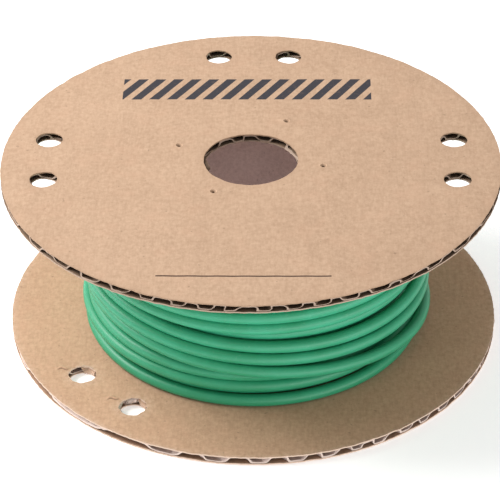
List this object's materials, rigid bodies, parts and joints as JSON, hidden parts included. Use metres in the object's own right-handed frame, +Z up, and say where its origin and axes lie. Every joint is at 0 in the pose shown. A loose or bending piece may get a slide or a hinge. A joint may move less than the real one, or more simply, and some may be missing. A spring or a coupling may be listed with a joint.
{
  "type": "wire spool",
  "caption": "Small cardboard reel with round corrugated flanges, a paperboard core tube and a full winding of smooth green round wire.",
  "frame": {"origin": "centre of the lower flange's outer face, on the reel's axis", "axes": "+Z up the reel's axis, away from the surface that it stands on; -Y towards the side of the upper flange that has no pair of rim holes"},
  "size_m": [0.127, 0.127, 0.0484],
  "materials": {
    "kraft_liner": "matte",
    "fluting_paper": "matte",
    "grey_paperboard": "matte",
    "dried_glue": "satin",
    "green_insulation": "satin"
  },
  "bodies": {
    "root": {"bottom_flange_outer_liner": "kraft_liner", "bottom_flange_fluting": "fluting_paper", "bottom_flange_inner_liner": "kraft_liner", "lower_glue_ring": "dried_glue", "core_inner_ply": "grey_paperboard", "core_body_ply_1": "grey_paperboard", "core_body_ply_2": "grey_paperboard", "core_outer_ply": "grey_paperboard", "upper_glue_ring": "dried_glue", "wire_winding": "green_insulation", "top_flange_inner_liner": "kraft_liner", "top_flange_fluting": "fluting_paper", "top_flange_outer_liner": "kraft_liner"}
  },
  "joints": []
}
